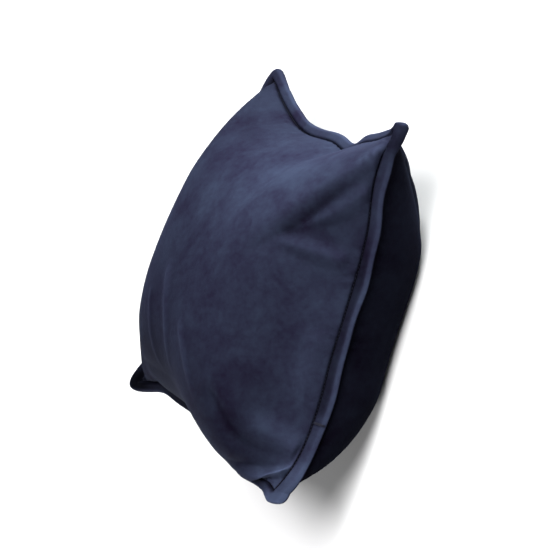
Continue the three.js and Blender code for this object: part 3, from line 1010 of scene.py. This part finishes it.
def stitch_row(line, ups):
    """Stitches along a seam, each arched in its middle and sunk into the cloth at its ends."""
    sewn = line_length(line) - 2 * SEAM_MARGIN
    count = int(sewn / (STITCH_LENGTH + STITCH_GAP))
    pitch = sewn / count
    shares = np.linspace(0, 1, STITCH_STEPS)
    end = (2 * shares - 1) ** STITCH_END_POWER
    height = STITCH_ARCH * (1 - end) - STITCH_SINK * end
    for number in range(count):
        distances = SEAM_MARGIN + pitch * number + (pitch - STITCH_GAP) * shares
        path = along_line(line, line, distances)
        up = unit(along_line(line, ups, distances))
        yield tube(path + up * height[:, None], up, STITCH_RADIUS)


def bar_tack(panel):
    """Threads side by side across the flange, from the stitching to its outer edge."""
    rings, places = cover_grid.rings, cover_grid.at
    flange = panel[len(panel) - 2 - rings :]
    for number in range(TACK_THREADS):
        at = TACK_AT + (number - (TACK_THREADS - 1) / 2) * TACK_SPACING / HALF_SEAM
        before = rings + int(np.searchsorted(places[rings:-rings], at)) - 1
        share = (at - places[before]) / (places[before + 1] - places[before])
        across = flange[:, before] * (1 - share) + flange[:, before + 1] * share
        distances = np.linspace(*TACK_REACHES, TACK_STEPS) * line_length(across)
        path = along_line(across, across, distances)
        ups = unit(np.cross(np.gradient(path, axis=0), np.array([0.0, -1.0, 0.0])))
        ups *= np.sign(ups[len(ups) // 2, 2])
        yield tube(path + ups * TACK_RADIUS / 2, ups, TACK_RADIUS)


threads = []
for panel, side in ((front, 1), (back, -1)):
    for line, ups in seam_lines(panel, side):
        threads += stitch_row(line, ups)
threads += bar_tack(front)
stitching = new_object("topstitching", *joined(threads), thread)
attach(stitching, "root")

# Floor, light and camera, in metres

FLOOR_HALF = 12.0
FLOOR = {"Base Color": (0.29, 0.29, 0.291, 1), "Roughness": 0.9}
# The studio's soft light comes mostly from beyond the cushion's top edge.
BRIGHT_SIDE = (0.0, 0.75, 0.65)
WORLD_DARKEST = 0.05
WORLD_BRIGHTEST = 0.3
# The lamps: name, the way to it from the cushion, size, power and colour.
LAMPS = [
    ("key", (0.0, 0.95, 0.3), 2.0, 480, (0.975, 1.0, 1.005)),
    ("overhead", (0.58, 0.2, 0.79), 1.6, 300, (1.0, 0.993, 1.0)),
    ("fill", (-0.45, -0.89, 0.1), 0.6, 200, (1.0, 1.0, 1.0)),
]
LAMP_DISTANCE = 2.6
LAMP_TARGET = Vector((0, 0, 0.09))
CAMERA_PLACE = Vector((2.617, 0.303, 1.331))
CAMERA_TARGET = Vector((0.0, 0.0, 0.086))
CAMERA_LENS = 200.0
CAMERA_SENSOR = 36.0
CAMERA_REACH = 60.0
PHOTO_UPRIGHT = Vector((-0.184, 0.949, 0.256))


def plain_floor():
    """The white surface that the cushion lies on."""
    h = FLOOR_HALF
    mesh = bpy.data.meshes.new("floor")
    mesh.from_pydata([(-h, -h, 0), (h, -h, 0), (h, h, 0), (-h, h, 0)], [], [(0, 1, 2, 3)])
    mesh.materials.append(node_tree("floor_white", FLOOR)[0])
    obj = bpy.data.objects.new("floor", mesh)
    bpy.context.scene.collection.objects.link(obj)


def area_light(name, direction, size, power, colour):
    """A round soft lamp that looks at the cushion."""
    data = bpy.data.lights.new(name, "AREA")
    data.shape = "DISK"
    data.size = size
    data.energy = power
    data.color = colour
    towards = Vector(direction).normalized()
    obj = bpy.data.objects.new(name, data)
    obj.location = towards * LAMP_DISTANCE + LAMP_TARGET
    obj.rotation_mode = "QUATERNION"
    obj.rotation_quaternion = towards.to_track_quat("Z", "Y")
    bpy.context.scene.collection.objects.link(obj)


def studio_world():
    """An even surrounding light that grows towards its bright side."""
    world = bpy.data.worlds.new("studio")
    world.use_nodes = True
    nodes, links = world.node_tree.nodes, world.node_tree.links
    background = nodes["Background"]
    background.inputs["Color"].default_value = (1, 1, 1, 1)
    towards = nodes.new("ShaderNodeVectorMath")
    towards.operation = "DOT_PRODUCT"
    towards.inputs[1].default_value = Vector(BRIGHT_SIDE).normalized()
    links.new(nodes.new("ShaderNodeTexCoord").outputs["Generated"], towards.inputs[0])
    strength = nodes.new("ShaderNodeMapRange")
    set_sockets(strength, {"From Min": -1.0, "To Min": WORLD_DARKEST, "To Max": WORLD_BRIGHTEST})
    links.new(towards.outputs["Value"], strength.inputs["Value"])
    links.new(strength.outputs["Result"], background.inputs["Strength"])
    bpy.context.scene.world = world


def photo_camera():
    """The photograph's view of the face, turned so that the photograph's upright stays upright."""
    data = bpy.data.cameras.new("camera")
    data.lens = CAMERA_LENS
    data.sensor_width = CAMERA_SENSOR
    data.clip_end = CAMERA_REACH
    obj = bpy.data.objects.new("camera", data)
    back_axis = (CAMERA_PLACE - CAMERA_TARGET).normalized()
    right_axis = PHOTO_UPRIGHT.cross(back_axis).normalized()
    up_axis = back_axis.cross(right_axis)
    rotation = Matrix((right_axis, up_axis, back_axis)).transposed()
    obj.matrix_world = Matrix.Translation(CAMERA_PLACE) @ rotation.to_4x4()
    bpy.context.scene.collection.objects.link(obj)
    bpy.context.scene.camera = obj


plain_floor()
studio_world()
for lamp in LAMPS:
    area_light(*lamp)
photo_camera()
bpy.context.scene.view_settings.view_transform = "Standard"
